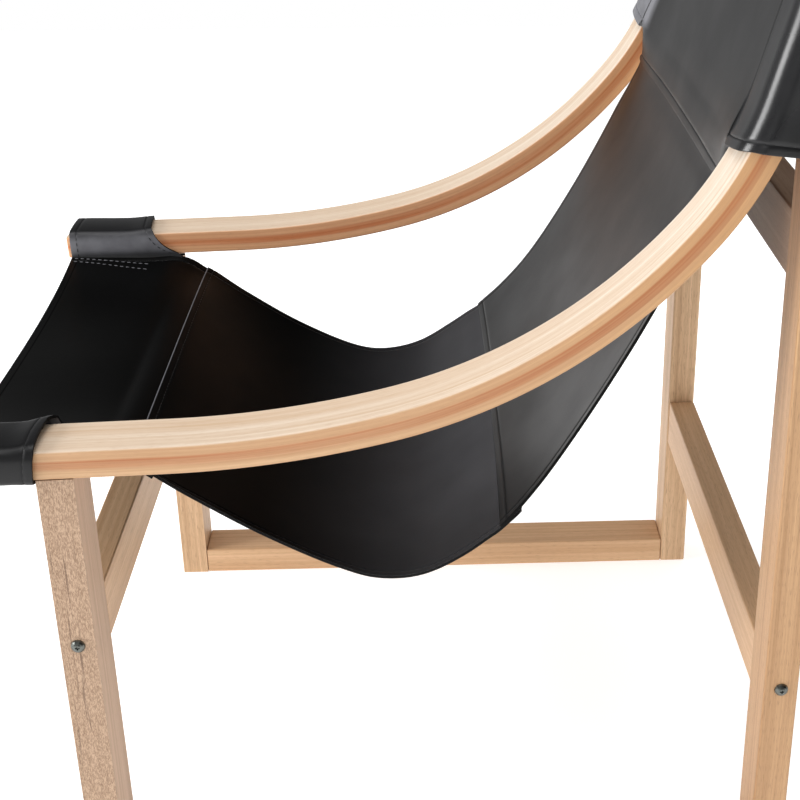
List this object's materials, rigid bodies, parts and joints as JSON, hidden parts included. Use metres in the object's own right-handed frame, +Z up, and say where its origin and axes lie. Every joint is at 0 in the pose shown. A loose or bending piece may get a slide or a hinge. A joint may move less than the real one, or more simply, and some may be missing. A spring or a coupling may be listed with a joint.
{
  "type": "leather sling lounge chair",
  "caption": "Low lounge chair with a bolted ash frame, bent-laminated side rails and one long black leather sling hung between them as seat and back.",
  "frame": {"origin": "on the floor, under the middle of the chair's bounding box", "axes": "+Z up, +X towards the sitter's left, the sitter looks along -Y"},
  "size_m": [0.7096, 0.8336, 0.9747],
  "materials": {
    "rail_wood": "bent-laminated ash, clear satin oil",
    "frame_wood": "planed ash, clear satin oil",
    "dowel_wood": "beech dowel, unfinished",
    "leather": "black satin-finished thick hide, stitched",
    "bolt_steel": "black nickel plate",
    "nut_steel": "zinc plate"
  },
  "bodies": {
    "root": {"front_panel": "leather", "seat_panel": "leather", "back_panel": "leather", "upper_back_panel": "leather", "front_loop_left": "leather", "rear_sleeve_left": "leather", "side_rail_left": "rail_wood", "front_leg_left": "frame_wood", "rear_leg_left": "frame_wood", "floor_runner_left": "frame_wood", "front_loop_right": "leather", "rear_sleeve_right": "leather", "side_rail_right": "rail_wood", "front_leg_right": "frame_wood", "rear_leg_right": "frame_wood", "floor_runner_right": "frame_wood", "front_stretcher": "frame_wood", "front_stretcher_bolt_left": "bolt_steel", "front_stretcher_nut_left": "nut_steel", "front_stretcher_pin_left": "dowel_wood", "front_stretcher_bolt_right": "bolt_steel", "front_stretcher_nut_right": "nut_steel", "front_stretcher_pin_right": "dowel_wood", "rear_stretcher": "frame_wood", "rear_stretcher_bolt_left": "bolt_steel", "rear_stretcher_nut_left": "nut_steel", "rear_stretcher_pin_left": "dowel_wood", "rear_stretcher_bolt_right": "bolt_steel", "rear_stretcher_nut_right": "nut_steel", "rear_stretcher_pin_right": "dowel_wood", "upper_back_rail": "frame_wood", "upper_back_rail_bolt_left": "bolt_steel", "upper_back_rail_nut_left": "nut_steel", "upper_back_rail_pin_left": "dowel_wood", "upper_back_rail_bolt_right": "bolt_steel", "upper_back_rail_nut_right": "nut_steel", "upper_back_rail_pin_right": "dowel_wood", "dowel_front_foot_left_1": "dowel_wood", "dowel_front_foot_left_2": "dowel_wood", "dowel_front_foot_right_1": "dowel_wood", "dowel_front_foot_right_2": "dowel_wood", "dowel_rear_foot_left_1": "dowel_wood", "dowel_rear_foot_left_2": "dowel_wood", "dowel_rear_foot_right_1": "dowel_wood", "dowel_rear_foot_right_2": "dowel_wood", "dowel_front_top_left_1": "dowel_wood", "dowel_front_top_left_2": "dowel_wood", "dowel_front_top_right_1": "dowel_wood", "dowel_front_top_right_2": "dowel_wood", "dowel_rear_top_left_1": "dowel_wood", "dowel_rear_top_left_2": "dowel_wood", "dowel_rear_top_right_1": "dowel_wood", "dowel_rear_top_right_2": "dowel_wood"}
  },
  "joints": []
}
